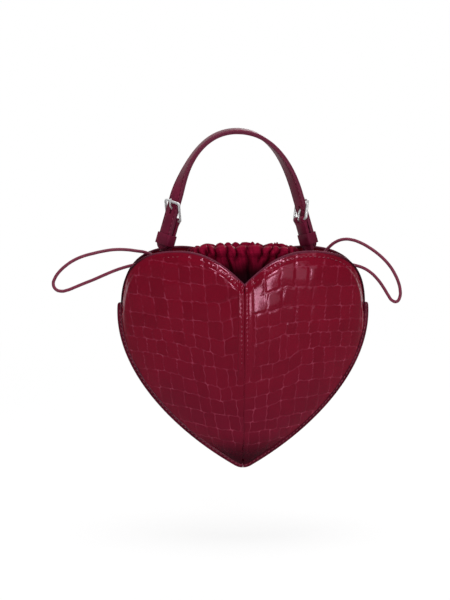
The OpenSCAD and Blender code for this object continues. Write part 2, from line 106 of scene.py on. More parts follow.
def pick(piece):
    deselect()
    piece.hide_viewport = False
    piece.select_set(True)
    bpy.context.view_layer.objects.active = piece
    return piece


def read_places(piece):
    places = np.empty(len(piece.data.vertices) * 3)
    piece.data.vertices.foreach_get("co", places)
    return places.reshape(-1, 3) / MM


def write_places(piece, places):
    piece.data.vertices.foreach_set("co", (np.asarray(places, float) * MM).ravel())
    piece.data.update()


def keep_values(piece, **layers):
    """Stores numbers for each corner, for a material to read; corners left over get 0"""
    for name, values in layers.items():
        kept = np.zeros(len(piece.data.vertices), np.float32)
        kept[:len(values)] = values
        piece.data.attributes.new(name, "FLOAT", "POINT").data.foreach_set("value", kept)


def edit(piece, *steps):
    """Runs edit-mode steps on the whole piece"""
    pick(piece)
    bpy.ops.object.mode_set(mode="EDIT")
    bpy.ops.mesh.select_all(action="SELECT")
    for step in steps:
        step()
    bpy.ops.object.mode_set(mode="OBJECT")


def outwards():
    bpy.ops.mesh.normals_make_consistent(inside=False)


def apply(piece, kind, **settings):
    pick(piece)
    modifier = piece.modifiers.new(kind.title(), kind)
    for name, value in settings.items():
        setattr(modifier, name, value)
    bpy.ops.object.modifier_apply(modifier=modifier.name)


def smooth(piece, degrees=35):
    pick(piece)
    bpy.ops.object.shade_smooth_by_angle(angle=math.radians(degrees))


BODY_SHIFT = 5.5


def hung(piece):
    """The bag hangs a little to the right of the handle's middle, so its pattern moves too"""
    write_places(piece, read_places(piece) + (BODY_SHIFT, 0, 0))
    return piece


def finish_piece(piece, body, slot, material, *replaced):
    piece.data.materials.clear()
    piece.data.materials.append(material)
    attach(piece, body)
    if replaced:
        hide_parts(*replaced)


def added(step, **settings):
    """Runs one of the add steps and hands back the new object"""
    deselect()
    step(**settings)
    return bpy.context.object


def linked(name, data):
    piece = bpy.data.objects.new(name, data)
    bpy.context.scene.collection.objects.link(piece)
    return piece


def flat_grid(name, across, down):
    """A flat grid, with each corner's share of the way across and down"""
    piece = added(bpy.ops.mesh.primitive_grid_add, x_subdivisions=across, y_subdivisions=down,
        size=2)
    piece.name = name
    flat = read_places(piece) * MM
    return piece, (flat[:, 0] + 1) / 2, (1 - flat[:, 1]) / 2


def round_wire(name, route, thickness, roundness, steps):
    """One open curve through the route's places, in millimetres, thickened to a round wire"""
    line = bpy.data.curves.new(name, "CURVE")
    line.dimensions = "3D"
    line.bevel_depth = thickness / 2 * MM
    line.bevel_resolution = roundness
    line.resolution_u = steps
    line.use_fill_caps = True
    points = line.splines.new("BEZIER").bezier_points
    points.add(len(route) - 1)
    for point, place in zip(points, route):
        point.co = Vector(place) * MM
        point.handle_left_type = point.handle_right_type = "AUTO"
    piece = linked(name, line)
    bpy.context.view_layer.update()
    return piece


def dress(material, *names):
    """Gives the frame's own solids their finish"""
    for name in names:
        nodes[name].data.materials.clear()
        nodes[name].data.materials.append(material)


def unit(a):
    return a / np.maximum(np.linalg.norm(a, axis=-1, keepdims=True), 1e-9)


def ramp(low, high, x):
    t = np.clip((np.asarray(x, float) - low) / (high - low), 0, 1)
    return t * t * (3 - 2 * t)


def bump_at(x, middle, width):
    return np.exp(-((x - middle) / width) ** 2)


def bez(p, t):
    p, t = np.asarray(p, float), np.atleast_1d(np.asarray(t, float))[:, None]
    return p[0] * (1 - t) ** 3 + 3 * p[1] * t * (1 - t) ** 2 + 3 * p[2] * t * t * (1 - t) \
        + p[3] * t ** 3


def bez_slope(p, t):
    p, t = np.asarray(p, float), np.atleast_1d(np.asarray(t, float))[:, None]
    return 3 * (p[1] - p[0]) * (1 - t) ** 2 + 6 * (p[2] - p[1]) * t * (1 - t) \
        + 3 * (p[3] - p[2]) * t * t


# %% [markdown]
# ## The drawcords
#
# Two round leather cords run through the satin tunnel and come out at its ends as long soft
# loops. A free cord has one length, so its route is settled first. The left loop lies almost
# level and droops at its end, and the right one rises and then hangs down.

# %% Cord loops
CORD_D = 2.8
left_route = [(-34, 17.3, -104.5), (-42, 17.8, -106), (-50, 16, -108.5), (-58, 13.4, -109.7),
    (-66, 12.2, -109.8), (-73, 11.2, -109), (-79, 9.8, -105.6), (-85, 8.4, -102.9),
    (-92, 7, -101.6),
    (-101, 6, -100.4), (-111, 5, -100.2), (-120, 4, -101.3), (-129, 3, -103.2),
    (-138, 2.5, -105.6), (-146, 2, -109), (-153, 1.5, -113.6), (-159, 1, -119.2),
    (-162.6, 0.5, -124.5), (-164, 0, -129.6), (-161.8, -0.6, -134), (-157, -1, -135.6),
    (-151.6, -1.4, -134.6), (-146, -1.8, -132.4), (-138, -2.4, -129), (-129, -3, -125.4),
    (-120, -3.6, -121.4), (-111, -4.2, -117.6), (-103, -5.2, -114.8), (-95, -6.6, -112.6),
    (-87, -8.2, -110.8), (-79, -9.8, -110), (-71, -11, -109.8), (-63, -12, -109.8),
    (-55, -13.6, -109.6), (-48, -16.2, -107.6), (-41, -17.7, -105.8), (-34, -17.3, -104.5)]
right_route = [(34, 17.3, -104.5), (42, 17.8, -106), (49, 16, -108.4), (56, 13.4, -109.6),
    (64, 12, -109), (70, 11, -105), (75, 9.6, -99), (80.5, 8.2, -94.4), (87.5, 6.6, -91.8),
    (95, 5, -92.2), (102, 3.8, -94.6), (109, 2.8, -98.4), (115.6, 2, -103), (122, 1.4, -108.6),
    (127.6, 1, -115), (131.6, 0.6, -121.4), (134.6, 0.2, -128), (136.4, 0, -135),
    (136.2, -0.6, -141.4), (133.6, -1, -145.4), (129.6, -1.4, -144.6), (125.6, -1.8, -139.4),
    (121.4, -2.2, -132.6), (116, -2.8, -125.4), (110, -3.6, -119.6), (103, -4.6, -115.4),
    (96, -5.8, -113.2), (88, -7.8, -111.4), (80, -9.4, -110.2), (72, -10.8, -109.8),
    (64, -12, -109.8), (56, -13.4, -109.6), (49, -16, -108.2), (42, -17.7, -106),
    (34, -17.3, -104.5)]


def cord_loop(name, route):
    route = [(x + BODY_SHIFT, y, z) for x, y, z in route]
    length = sum((Vector(a) - Vector(b)).length for a, b in zip(route, route[1:]))
    print(name, "length", round(length), "mm")
    return round_wire(name, route, CORD_D, 4, 6), route, length


left_cord, left_route, left_length = cord_loop("left_cord_loop", left_route)
right_cord, right_route, right_length = cord_loop("right_cord_loop", right_route)

# %% [markdown]
# ## The pattern of the heart
#
# The body follows from two flat curves: the rim of the lower V, and the free top edge with its
# lobe. A place on half a panel is given by u, from the seam out to the rim, and v, from the top
# edge down. The dome gives its depth: a keel at the seam, round at the side.

# %% Pattern curves
bag_w, bag_h, bag_depth = 220, 193, 77
notch_drop, side_drop = 28, 49
binding_w, leather_t, ply_gap = 4.5, 1.6, 0.1
top_z, half_w = -99.5, bag_w / 2
notch_z, step_z, tip_z = top_z - notch_drop, top_z - side_drop, top_z - bag_h
seam_half = leather_t + ply_gap
rim_curve = [(half_w * a, step_z + (tip_z - step_z) * b)
    for a, b in ((0.995, 0), (1.027, 0.405), (0.527, 0.787), (0.036, 1))]
lobe_x = half_w / 2


def rim(v, inset=0.0):
    along = unit(bez_slope(rim_curve, v))
    return bez(rim_curve, v) + inset * np.stack([along[:, 1], -along[:, 0]], 1)


inner_lobe = [(0, notch_z), (half_w * 0.145, notch_z + notch_drop * 0.55),
    (lobe_x - half_w * 0.22, top_z), (lobe_x, top_z)]
outer_lobe = [(lobe_x, top_z), (lobe_x + half_w * 0.3, top_z),
    (half_w - binding_w - half_w * 0.013, top_z - side_drop * 0.26), rim(0, binding_w)[0]]


def top_edge(u):
    u = np.atleast_1d(np.asarray(u, float))
    return np.where((u < 0.5)[:, None], bez(inner_lobe, np.clip(u / 0.5, 0, 1)),
        bez(outer_lobe, np.clip((u - 0.5) / 0.5, 0, 1)))


def spot(u, v):
    u, v = np.atleast_1d(np.asarray(u, float)), np.atleast_1d(np.asarray(v, float))
    start, end, uu, vv = top_edge(0), top_edge(1), u[:, None], v[:, None]
    seam_end = np.array([[0, rim(1, binding_w)[0, 1]]])
    swell = top_edge(u) - start * (1 - uu) - end * uu
    return (start * (1 - vv) + seam_end * vv) * (1 - uu) + rim(v, binding_w) * uu \
        + swell * (1 - vv) ** 1.6


EDGE_ROLL = 1.8


def crown(v):
    return (1 - v * v) * (0.9 + 0.4 * v)


belly = (bag_depth / 2 - seam_half) / crown(0.2)


def dome(u, v):
    """Depth of the face: a keel at the seam, a round side, and a roll back to the top edge"""
    fall = 1 - 0.35 * u - 0.65 * u ** 3
    return seam_half + belly * crown(v) * fall - EDGE_ROLL * ramp(0.062, 0, v) * ramp(0, 0.4, fall)


def face_place(u, v, depth=0.0):
    """A place on the front's right half, sunk by a depth"""
    flat = spot(u, v)
    return np.stack([flat[:, 0], depth - dome(u, v), flat[:, 1]], 1)


def face_normal(u, v):
    e = 1e-3
    u1, v1 = np.clip(u + e, 0, 1), np.clip(v + e, 0, 1)
    u0, v0 = np.clip(u - e, 0, 1), np.clip(v - e, 0, 1)
    return unit(np.cross(face_place(u, v1) - face_place(u, v0),
        face_place(u1, v) - face_place(u0, v)))


print("normal at the belly:", face_normal(np.array([0.3]), np.array([0.3]))[0].round(2))

# %% [markdown]
# ## Finishes
#
# Each finish is one Principled shader with its own small network. The helper adds a node, sets
# or links its inputs, and hands it back. Colours are written as a colour picker shows them, and
# turned to the linear values that the shader wants.

# %% Finish helper
def picked(r, g, b):
    def linear(c):
        c /= 255
        return c / 12.92 if c <= 0.04045 else ((c + 0.055) / 1.055) ** 2.4
    return linear(r), linear(g), linear(b), 1.0


class Network:
    """Adds nodes to one node tree, and sets or links their inputs"""
    def __init__(self, tree):
        self.tree = tree

    def put(self, node, inputs):
        for key, value in dict(inputs).items():
            if isinstance(value, bpy.types.NodeSocket):
                self.tree.links.new(value, node.inputs[key])
            else:
                node.inputs[key].default_value = value
        return node

    def add(self, kind, inputs=(), **settings):
        node = self.tree.nodes.new("ShaderNode" + kind)
        for key, value in settings.items():
            setattr(node, key, value)
        return self.put(node, inputs)

    def math(self, operation, *values):
        return self.add("Math", enumerate(values), operation=operation).outputs[0]

    def split(self, vector):
        return self.add("SeparateXYZ", {0: vector}).outputs

    def blend(self, factor, a, b):
        return self.add("Mix", {0: factor, 2: a, 3: b}).outputs[0]

    def mix(self, factor, a, b):
        node = self.add("Mix", data_type="RGBA")
        return self.put(node, {0: factor, 6: a, 7: b}).outputs[2]

    def curve(self, value, low, high, to_low=0.0, to_high=1.0):
        return self.add("MapRange", {"Value": value, "From Min": low, "From Max": high,
            "To Min": to_low, "To Max": to_high}, interpolation_type="SMOOTHSTEP").outputs[0]

    def wave(self, scale, distortion, direction):
        return self.add("TexWave", {"Vector": self.place(), "Scale": scale,
            "Distortion": distortion}, bands_direction=direction)

    def kept(self, name):
        return self.add("Attribute", attribute_name=name).outputs["Fac"]

    def place(self):
        return self.add("TexCoord").outputs["Object"]

    def bump(self, height, strength, distance, normal=None):
        node = self.add("Bump", {"Height": height, "Strength": strength, "Distance": distance})
        return self.put(node, {} if normal is None else {"Normal": normal}).outputs[0]


class Finish(Network):
    def __init__(self, name, **sockets):
        self.material = bpy.data.materials.new(name)
        self.material.use_nodes = True
        super().__init__(self.material.node_tree)
        self.shader = self.tree.nodes["Principled BSDF"]
        self.put(self.shader, {key.replace("_", " "): value for key, value in sockets.items()})

    def now(self, socket):
        return self.shader.inputs[socket].links[0].from_socket


# %% [markdown]
# ## Grain, shared by every leather
#
# Leather has fine pores and a slightly uneven dye. One node group gives both, and each finish
# chooses how large they are. The group only puts out values.

# %% Leather grain group
def grain_group():
    tree = bpy.data.node_groups.new("leather_grain", "ShaderNodeTree")
    for name, way, kind in (("Vector", "INPUT", "Vector"), ("Pore Scale", "INPUT", "Float"),
            ("Dye Scale", "INPUT", "Float"), ("Height", "OUTPUT", "Float"),
            ("Dye", "OUTPUT", "Float")):
        tree.interface.new_socket(name, in_out=way, socket_type="NodeSocket" + kind)
    network = Network(tree)
    give, take = tree.nodes.new("NodeGroupInput").outputs, tree.nodes.new("NodeGroupOutput")
    fine = {"Vector": give["Vector"], "Scale": give["Pore Scale"]}
    pores = network.add("TexVoronoi", fine, feature="SMOOTH_F1").outputs["Distance"]
    creases = network.add("TexNoise", {**fine, "Detail": 5}).outputs["Fac"]
    dye = network.add("TexNoise", {"Vector": give["Vector"], "Scale": give["Dye Scale"],
        "Detail": 3}).outputs["Fac"]
    network.put(take, {"Height": network.math("ADD", pores, creases), "Dye": dye})
    return tree


leather_grain = grain_group()


def grain(finish, pore_scale, dye_scale):
    node = finish.add("Group", node_tree=leather_grain)
    finish.put(node, {"Vector": finish.place(), "Pore Scale": pore_scale,
        "Dye Scale": dye_scale})
    return node.outputs["Height"], node.outputs["Dye"]


# %% [markdown]
# ## Patent crocodile leather
#
# The embossed leather is deep red under a clear gloss. The grooves between its scales look
# pinker, and each scale took the dye a little differently. Lower down the colour is painted
# plum and the tip nearly black, as painted reflection and shade.
# The grooves and tones come from values kept in the mesh, so they stay with the relief.

# %% Patent leather finish
def patent_finish():
    f = Finish("patent_crocodile", IOR=1.52, Specular_Tint=(1.0, 0.4, 0.62, 1.0),
        Coat_Weight=0.12, Coat_Roughness=0.04)
    height, dye = grain(f, 900, 40)
    high = f.split(f.place())["Z"]
    # Painted reflection and shade: red high up, turning plum lower down.
    ground = f.mix(f.curve(high, -0.15, -0.27), picked(105, 10, 29), picked(97, 14, 34))
    ground = f.mix(f.curve(f.kept("tone"), 0, 1, 0.0, 0.3), ground, picked(84, 6, 20))
    ground = f.mix(f.curve(dye, 0.35, 0.75, 0.0, 0.3), ground, picked(114, 11, 33))
    ground = f.mix(f.curve(f.kept("groove"), 0.1, 0.9, 0.0, 0.55), ground, picked(138, 44, 66))
    # Painted shade: the tip is darkened nearly to black.
    ground = f.mix(f.curve(high, -0.256, -0.284), ground, picked(44, 2, 11))
    f.put(f.shader, {"Base Color": ground,
        "Roughness": f.curve(f.kept("groove"), 0, 1, 0.12, 0.3),
        "Normal": f.bump(height, 0.1, 0.0002)})
    return f.material


patent = patent_finish()

# %% [markdown]
# ## Plain leathers, painted edges, thread, satin, cord and silver
#
# The strap's leather is smoother and more purple. Cut edges are sealed with a thick plum
# paint. The satin is painted light along its folds and nearly black between them, as painted
# highlight and shade.

# %% Other finishes
def smooth_leather(name, colour, darker, roughness, coat):
    f = Finish(name, IOR=1.3, Specular_Tint=(1.0, 0.4, 0.6, 1.0), Coat_Weight=coat,
        Coat_Roughness=0.2)
    height, dye = grain(f, 700, 60)
    f.put(f.shader, {"Base Color": f.mix(f.curve(dye, 0.3, 0.75), darker, colour),
        "Roughness": f.curve(dye, 0.2, 0.8, roughness - 0.05, roughness + 0.07),
        "Normal": f.bump(height, 0.04, 0.0002)})
    return f


def strap_finish():
    f = smooth_leather("strap_leather", picked(104, 22, 48), picked(82, 14, 36), 0.46, 0.0)
    # Painted shade: the leather is darkened in the stitch gutters, where the section sinks.
    ground = f.mix(f.kept("sunk"), f.now("Base Color"), picked(62, 8, 26))
    f.put(f.shader, {"Base Color": f.mix(f.kept("paint"), ground, picked(92, 34, 52))})
    return f.material


def grained(name, pores, dyes, dark, light, roughness, depth, **sockets):
    """A matt finish with pores of a given strength and depth, and an uneven dye"""
    f = Finish(name, Roughness=roughness, **sockets)
    height, dye = grain(f, pores, dyes)
    f.put(f.shader, {"Base Color": f.mix(dye, dark, light), "Normal": f.bump(height, *depth)})
    return f


def paint_finish():
    """The paint is darkened round the sides, as painted shade"""
    f = grained("edge_paint", 350, 120, picked(76, 22, 38), picked(104, 42, 60), 0.42,
        (0.2, 0.0003), IOR=1.15)
    out = f.math("ABSOLUTE", f.math("SUBTRACT", f.split(f.place())["X"], BODY_SHIFT * MM))
    f.put(f.shader, {"Base Color": f.mix(f.curve(out, 0.07, 0.095), f.now("Base Color"),
        picked(50, 8, 20))})
    return f.material


def thread_finish():
    f = Finish("waxed_thread", IOR=1.5, Coat_Weight=0.3, Coat_Roughness=0.2)
    twist = f.wave(420.0, 1.0, "DIAGONAL").outputs["Fac"]
    # Painted highlight: the thread is coloured lighter on the crests of its twist.
    f.put(f.shader, {"Base Color": f.mix(twist, picked(100, 14, 36), picked(146, 50, 74)),
        "Roughness": 0.38, "Normal": f.bump(twist, 0.5, 0.0002)})
    return f.material


def satin_finish(name, crest, valley_shade):
    f = Finish(name, IOR=1.1, Specular_Tint=(1.0, 0.25, 0.4, 1.0), Sheen_Weight=0.03,
        Sheen_Roughness=0.35, Sheen_Tint=(0.8, 0.1, 0.2, 1.0), Anisotropic=0.5)
    _, slub = grain(f, 900, 220)
    # Painted highlight and shade: light on the fold crests, near black in the valleys, by the kept
    # crest value.
    ground = f.mix(f.curve(f.kept("crest"), 0.0, 1.0), valley_shade, crest)
    weave = f.wave(900.0, 0.6, "Z").outputs["Fac"]
    f.put(f.shader, {"Base Color": ground, "Roughness": f.curve(slub, 0.2, 0.8, 0.42, 0.54),
        "Normal": f.bump(weave, 0.06, 0.0001)})
    return f.material


def cord_finish():
    f = grained("round_cord", 900, 150, picked(92, 20, 46), picked(124, 34, 64), 0.5,
        (0.2, 0.0002), IOR=1.42)
    plait = f.put(f.wave(300.0, 2.0, "DIAGONAL"), {"Detail Scale": 2.0}).outputs["Fac"]
    f.put(f.shader, {"Normal": f.bump(plait, 0.3, 0.0002, f.now("Normal"))})
    return f.material


def silver_finish():
    f = Finish("polished_silver", Metallic=0.7)
    haze = f.add("TexNoise", {"Vector": f.place(), "Scale": 500.0, "Detail": 4.0}).outputs["Fac"]
    f.put(f.shader, {"Base Color": f.mix(haze, picked(222, 222, 224), picked(236, 236, 236)),
        "Roughness": f.curve(haze, 0.3, 0.7, 0.3, 0.42), "Normal": f.bump(haze, 0.04, 0.0002)})
    return f.material


strap_leather = strap_finish()
plain_leather = smooth_leather("plain_leather", picked(96, 16, 42), picked(72, 10, 30),
    0.4, 0.1).material
binding_leather = smooth_leather("binding_leather", picked(84, 8, 30), picked(64, 4, 20),
    0.3, 0.2).material
edge_paint = paint_finish()
waxed_thread = thread_finish()
collar_satin = satin_finish("collar_satin", picked(116, 10, 38), picked(12, 0, 3))
lining_satin = satin_finish("lining_satin", picked(96, 12, 34), picked(60, 6, 22))
round_cord = cord_finish()
silver = silver_finish()
fibre_board = grained("stiffening_board", 500, 200, picked(120, 106, 88),
    picked(154, 140, 118), 0.85, (0.5, 0.0004), IOR=1.4).material
print("finishes:", len(bpy.data.materials))

# %% Cords take their finish
for piece, body, node, route, length in (
        (left_cord, "left_pull", "left_drawcord", left_route, left_length),
        (right_cord, "right_pull", "right_drawcord", right_route, right_length)):
    finish_piece(piece, body, "cord_leather", round_cord, node)

# %% [markdown]
# ## Crocodile scales
#
# The pattern is laid out as an engraver lays out a plate: row by row, each with the height of
# its lower edge at stations out from the seam, the last one held to the rim, then the places
# of its upright grooves. The two halves' hides differ, so each hand has its own plate.

# %% Scale layout
stations = (0, 20, 35, 50, 65, 80, 95, 110)
plates = {
    "left": [
        ((20, 17, 13.5, 11.5, 9, 7), (24, 36, 47, 58, 70, 81, 92)),
        ((31, 27, 27.5, 26, 24, 21.5, 20.5, 20), (15.5, 24, 35, 46.5, 56.5, 69.5, 81, 92)),
        ((35, 42.5, 42.5, 41.5, 40, 38.5, 36.5, 36), (14, 33.5, 45.5, 55.5, 69, 82, 93.5)),
        ((53, 58.5, 58.5, 57.5, 56, 54, 52.5, 52), (12, 21, 31.5, 44.7, 53, 66, 78, 89, 101)),
        ((68, 75, 72, 69, 67, 66, 65), (10.3, 18.5, 31, 44, 53.5, 64, 76.5, 88, 100)),
        ((84, 88.5, 83, 80.5, 77, 76, 74.5, 74), (17, 29.5, 42.5, 51.5, 62, 72, 80.5, 89, 98.5)),
        ((101, 99, 97, 94.5, 91, 88, 87.5, 87), (9.5, 26.5, 34.5, 46, 57.5, 67.5, 77, 86, 95.5)),
        ((113, 117, 112.5, 109, 104.5, 103, 103.5, 104), (7, 14, 24, 34.5, 44.5, 58.5, 71.5,
            80.5, 90)),
        ((126, 128.5, 125.5, 122, 119.5, 119), (11, 20.5, 31, 41, 53, 65, 77, 88)),
        ((143, 141, 139.5, 136, 135, 134), (6, 17.5, 29, 39, 53, 66, 77)),
        ((156, 155, 152.5, 150, 149), (3, 12.5, 25, 35, 47.5, 60)),
        ((168, 165, 163, 161, 160), (9.5, 22.5, 33, 44)),
        ((178, 176, 175), (7, 18, 29))],
    "right": [
        ((20, 15, 12.5, 12.5, 12, 13, 14, 15), (31, 44.5, 59, 70, 83)),
        ((36, 34, 28.5, 29.5, 29.5, 29.5, 30, 32), (17, 31, 43.8, 56, 67, 81, 94)),
        ((53, 50, 46, 45.5, 46, 46.5, 47, 48), (19, 33, 45.5, 59.5, 71, 84, 96)),
        ((64, 63, 60, 59.5, 58.5, 58, 59, 60), (9, 20.5, 31, 44.3, 58.5, 70.5, 85, 94)),
        ((80, 75, 70, 70, 69, 69, 70.5, 71), (9.5, 21.5, 36, 45, 56, 65, 74, 84, 94)),
        ((98, 96, 92, 84, 82, 82.5, 84, 85), (8.5, 21, 30.5, 36.5, 47, 57.5, 66.5, 76, 87, 97)),
        ((112, 108.5, 105.5, 97.5, 96), (4.5, 14.5, 24.5, 39, 50, 60.5, 71, 82, 93)),
        ((126, 122, 117, 111.5, 111, 111, 112), (10.5, 21.5, 34.5, 48, 61, 72.5, 82, 92)),
        ((137, 133.5, 128.5, 127.5, 126.5, 126), (9.5, 20, 33, 46, 58, 68.5, 80)),
        ((148, 146.5, 143.5, 142, 141), (8, 20, 32.5, 46, 58)),
        ((158, 155.5, 155, 154), (5.5, 19, 30, 42)),
        ((170, 167, 165, 164), (4.5, 14, 24, 34)),
        ((179, 178), (4, 14, 24))]}
tip_lines = (5, 14)
COLUMN_LEAN = {"left": -0.1, "right": -0.03}
PLATE_TOP, PLATE_END, SCALE_W, SCALE_H = -14.0, 195.0, 12, 14
CORNER_R = 2.0


def scale_map(hand, far, fall, chance):
    """Distance to a place's own groove, its scale's number, and its share from that scale's
    middle across and down"""
    swing = chance.uniform(0, 2 * math.pi, 4)
    far, fall = (far + 0.3 * np.sin(fall * 0.42 + swing[0])
            + 0.22 * np.sin(fall * 0.9 + far * 0.3 + swing[1]),
        fall + 0.3 * np.sin(far * 0.4 + swing[2])
            + 0.22 * np.sin(far * 0.85 - fall * 0.2 + swing[3]))
    edges = np.stack([np.interp(far, stations[:len(row)], row) for row, _ in plates[hand]])
    edges = np.concatenate([np.full((1, len(far)), PLATE_TOP), edges,
        np.full((1, len(far)), PLATE_END)])
    row = (edges[1:-1] < fall).sum(0)
    each = np.arange(len(far))
    above, below = edges[row, each], edges[row + 1, each]
    level = np.minimum(fall - above, below - fall)
    beside, own, share = np.empty(len(far)), np.empty(len(far), int), np.empty(len(far))
    for k, lines in enumerate([lines for _, lines in plates[hand]] + [tip_lines]):
        here = row == k
        cuts = np.array((-SCALE_W,) + lines + (lines[-1] + SCALE_W, lines[-1] + 2.0 * SCALE_W))
        at = far[here] - COLUMN_LEAN[hand] * (fall[here] - (above + below)[here] / 2)
        column = np.clip(np.searchsorted(cuts, at) - 1, 0, len(cuts) - 2)
        left, right = cuts[column], cuts[column + 1]
        beside[here] = np.minimum(at - left, right - at)
        share[here] = (at - (left + right) / 2) / (SCALE_W / 2)
        own[here] = k * 20 + column
    corner = CORNER_R - np.hypot(CORNER_R - np.minimum(level, CORNER_R),
        CORNER_R - np.minimum(beside, CORNER_R))
    gap = np.maximum(np.where((level < CORNER_R) & (beside < CORNER_R), corner,
        np.minimum(level, beside)), 0)
    return gap, own, share, (fall - (above + below) / 2) / (SCALE_H / 2)


# %% [markdown]
# ## The four domed halves
#
# A half starts as a flat grid and is moved onto the dome, then Solidify gives it the thickness
# of leather. Only its outer corners take the relief: the scales, the raised band over the
# seam's turnings, and the gutters that the stitches pull in.

# %% Domed halves
PITCH = 3.9
SEAM_STITCH, EDGE_STITCH = 2.4, 4.2
BAND_END = -203
ACROSS, DOWN = 156, 268
SHOULDER = {"left": 4.9, "right": 6.6}
GUTTER_W = {"left": 0.58, "right": 0.8}
PUFF = {"left": 0.4, "right": 0.8}
GROOVE_W, GROOVE_DEEP, SCALE_PUFF, SCALE_LEAN = 0.42, 0.12, 0.12, 0.11
WAVES, WAVE_DEEP = 6, 0.09
BAND_RISE = 0.7


def length_along(places):
    steps = np.linalg.norm(np.diff(places, axis=0), axis=1)
    return np.concatenate([[0], np.cumsum(steps)])


edge_u = np.linspace(0, 1, 400)
edge_line = face_place(edge_u, np.zeros(400))
edge_run = length_along(edge_line)
seam_v = np.linspace(0, 1, 400)
seam_line = face_place(np.zeros(400), seam_v)
seam_run = length_along(seam_line)


def nearest_on(line, run, places):
    """Distance to a line of points, and the length along it where that is"""
    gaps = [np.linalg.norm(part[:, None] - line, axis=2) for part in np.array_split(places, 12)]
    return (np.concatenate([gap.min(1) for gap in gaps]),
        np.concatenate([run[gap.argmin(1)] for gap in gaps]))


def panel_relief(u, v, places, hand, chance):
    seam_far = np.hypot(places[:, 0], (face_place(np.zeros_like(v), v) - places)[:, 1])
    edge_far, edge_at = nearest_on(edge_line, edge_run, places)
    seam_at = np.interp(v, seam_v, seam_run)
    z = places[:, 2]
    gap, own, across, down = scale_map(hand, seam_far, top_z - z, chance)
    band = ramp(BAND_END - 6, BAND_END + 4, z)
    shoulder = SHOULDER[hand]
    clear = 1 - band * ramp(shoulder + 1.2, shoulder - 0.2, seam_far)
    clear = clear * ramp(1.2, 2.2, edge_far)
    groove = bump_at(gap, 0, GROOVE_W) * clear
    groove = groove * (0.7 + 0.3 * np.sin(seam_far * 0.31 + z * 0.23)
        * np.cos(z * 0.17 - seam_far * 0.12))
    tone = chance.uniform(0, 1, own.max() + 1)[own] * clear
    lean = chance.normal(0, SCALE_LEAN, (own.max() + 1, 2))[own]
    inside = ramp(0, 2.2, gap) * clear
    rise = (across * lean[:, 0] + down * lean[:, 1]) * inside + SCALE_PUFF * inside \
        - GROOVE_DEEP * groove
    for _ in range(WAVES):
        way, swing = chance.uniform(0, 2 * math.pi), chance.uniform(0, 2 * math.pi)
        length = chance.uniform(22, 46)
        rise += WAVE_DEEP * np.sin((places[:, 0] * math.cos(way) + z * math.sin(way))
            * 2 * math.pi / length + swing)
    pucker = 0.5 + 0.5 * np.cos(2 * math.pi * seam_at / PITCH)
    edge_pucker = 0.55 + 0.45 * np.cos(2 * math.pi * edge_at / PITCH)
    rise += BAND_RISE * ramp(shoulder + 0.9, shoulder - 0.5, seam_far) * band
    rise -= 0.4 * bump_at(seam_far, SEAM_STITCH, GUTTER_W[hand]) * (0.3 + 0.7 * pucker) * band
    if hand == "left":
        rise += band * ramp(shoulder + 0.9, shoulder - 0.3, seam_far) * (
            0.235 * np.clip(seam_far - 3.0, 0, 3) - 0.08 * pucker * bump_at(seam_far, 3.6, 1.2))
    else:
        rise += band * (0.12 - 0.05 * pucker) * bump_at(seam_far, shoulder + 0.2, 0.9)
    rise -= (0.85 + 0.2 * band) * bump_at(seam_far, 0, 0.8)
    rise += PUFF[hand] * (ramp(EDGE_STITCH - 0.3, EDGE_STITCH + 3, edge_far) - 0.5)
    rise -= 0.25 * bump_at(edge_far, EDGE_STITCH, 0.95) * edge_pucker
    rise -= 0.13 * np.clip(EDGE_STITCH - edge_far, 0, None)
    return rise, groove, tone


# The pattern is drawn for the front's right quarter, and a turn mirrors it into each quarter.
quarters = [(word + "_" + hand, np.array([side, -face, 1]))
    for word, face in (("front", -1), ("back", 1)) for hand, side in (("left", -1), ("right", 1))]


def half_panel(name, turn, seed):
    mirrored = turn[0] * turn[1] < 0
    hand = "left" if mirrored else "right"
    piece, across, v = flat_grid(name + "_half", ACROSS, DOWN)
    u = across * (0.62 + 0.38 * across)
    places = face_place(u, v)
    places[:, 0] = np.maximum(places[:, 0], ply_gap / 2)
    write_places(piece, places * turn)
    if mirrored:
        edit(piece, bpy.ops.mesh.flip_normals)
    apply(piece, "SOLIDIFY", thickness=leather_t * MM, offset=-1, use_even_offset=False)
    rise, groove, tone = panel_relief(u, v, places, hand, np.random.default_rng(seed))
    thick = read_places(piece)
    thick[:len(u)] += rise[:, None] * face_normal(u, v) * turn
    write_places(piece, thick)
    keep_values(piece, groove=groove, tone=tone)
    smooth(piece, 60)
    print(name, "corners", len(thick))
    finish_piece(hung(piece), "bag", "embossed_leather", patent, name + "_panel")


for quarter, seed in zip(quarters, (11, 23, 37, 41)):
    half_panel(*quarter, seed)

# %% [markdown]
# ## Rolling a strip into a long piece
#
# Straps, bindings and painted edges are one section carried along a line. A grid is rolled: one
# side of it follows the line, the other goes round the section. Its meeting edges are merged
# and its ends filled.

# %% Rolled strips
def rolled(name, rings):
    """rings is one ring of places for each step along the line, in millimetres"""
    steps, round_it = rings.shape[:2]
    piece, across, down = flat_grid(name, round_it, steps - 1)
    column = np.rint(across * round_it).astype(int) % round_it
    row = np.rint(down * (steps - 1)).astype(int)
    write_places(piece, rings[row, column])
    edit(piece, lambda: bpy.ops.mesh.remove_doubles(threshold=1e-6),
        lambda: bpy.ops.mesh.select_all(action="DESELECT"),
        bpy.ops.mesh.select_non_manifold, bpy.ops.mesh.fill,
        lambda: bpy.ops.mesh.select_all(action="SELECT"), outwards)
    return piece


def sweep(name, line, face, section):
    """section is (across, out) in millimetres, one for all places or one each"""
    along = unit(np.gradient(line, axis=0))
    across = unit(np.cross(along, face))[:, None]
    out = np.cross(across, along[:, None])
    section = np.broadcast_to(section, (len(line),) + np.shape(section)[-2:])
    return rolled(name, line[:, None] + across * section[..., :1] + out * section[..., 1:])


